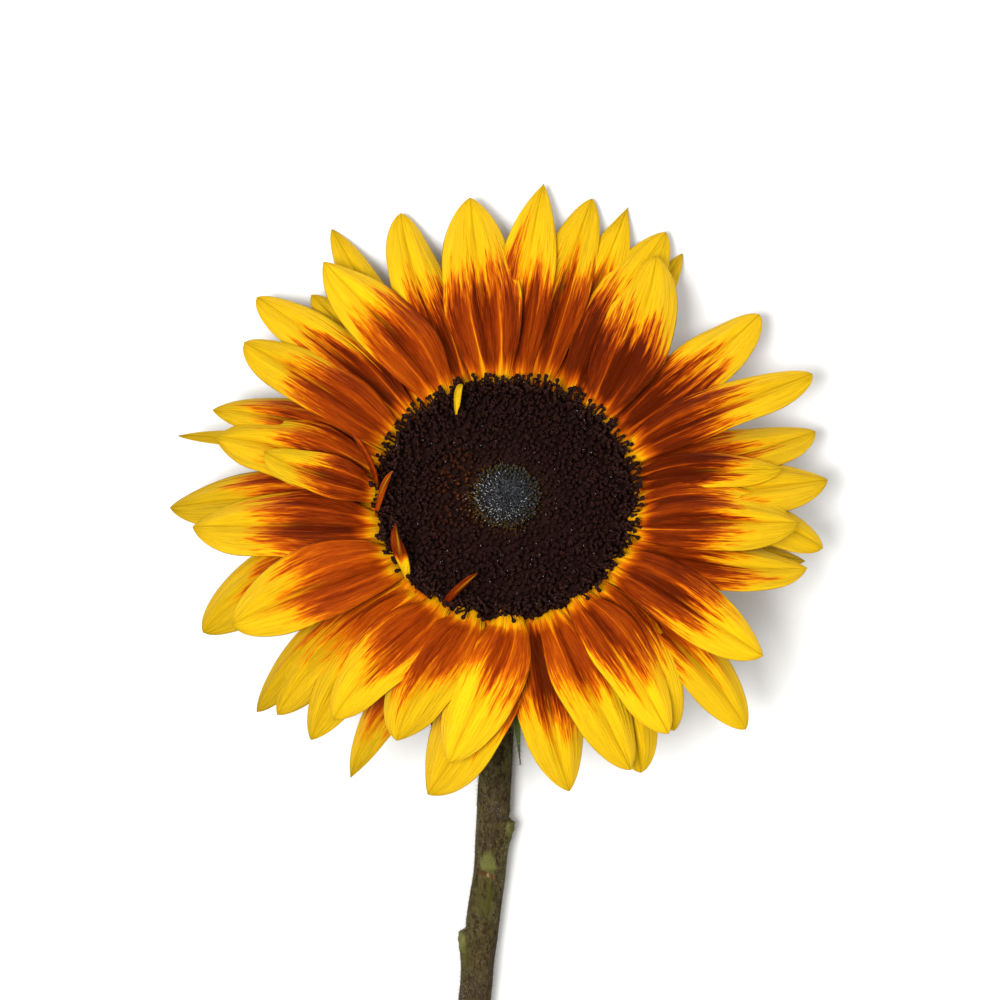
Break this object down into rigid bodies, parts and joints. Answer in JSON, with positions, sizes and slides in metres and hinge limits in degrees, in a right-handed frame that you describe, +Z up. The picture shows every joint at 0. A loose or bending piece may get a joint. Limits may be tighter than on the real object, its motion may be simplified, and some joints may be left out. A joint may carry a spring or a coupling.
{
  "type": "cut sunflower",
  "caption": "Cut sunflower lying on its back, with long two-coloured rays, a flat dark disc, green bracts and a bent stem.",
  "frame": {"origin": "on the surface that the flower lies on, under the middle of the whole flower", "axes": "+Z up from the surface, +Y along the flower from the stem's cut end to the head, +X across the head, to the right as seen from above with the stem below it"},
  "size_m": [0.155, 0.2746, 0.0504],
  "materials": {
    "stem": "matt grey-green and brown, downy",
    "green": "matt green, downy, paler along the edges",
    "rays": "soft satin, yellow at the tip and mahogany brown towards the disc",
    "disc": "matt, nearly black brown",
    "heart": "matt silver grey, woolly"
  },
  "bodies": {
    "root": {"stem": "stem", "receptacle_bracts": "green", "ray_petals": "rays", "disc_florets": "disc", "disc_heart": "heart"}
  },
  "joints": []
}
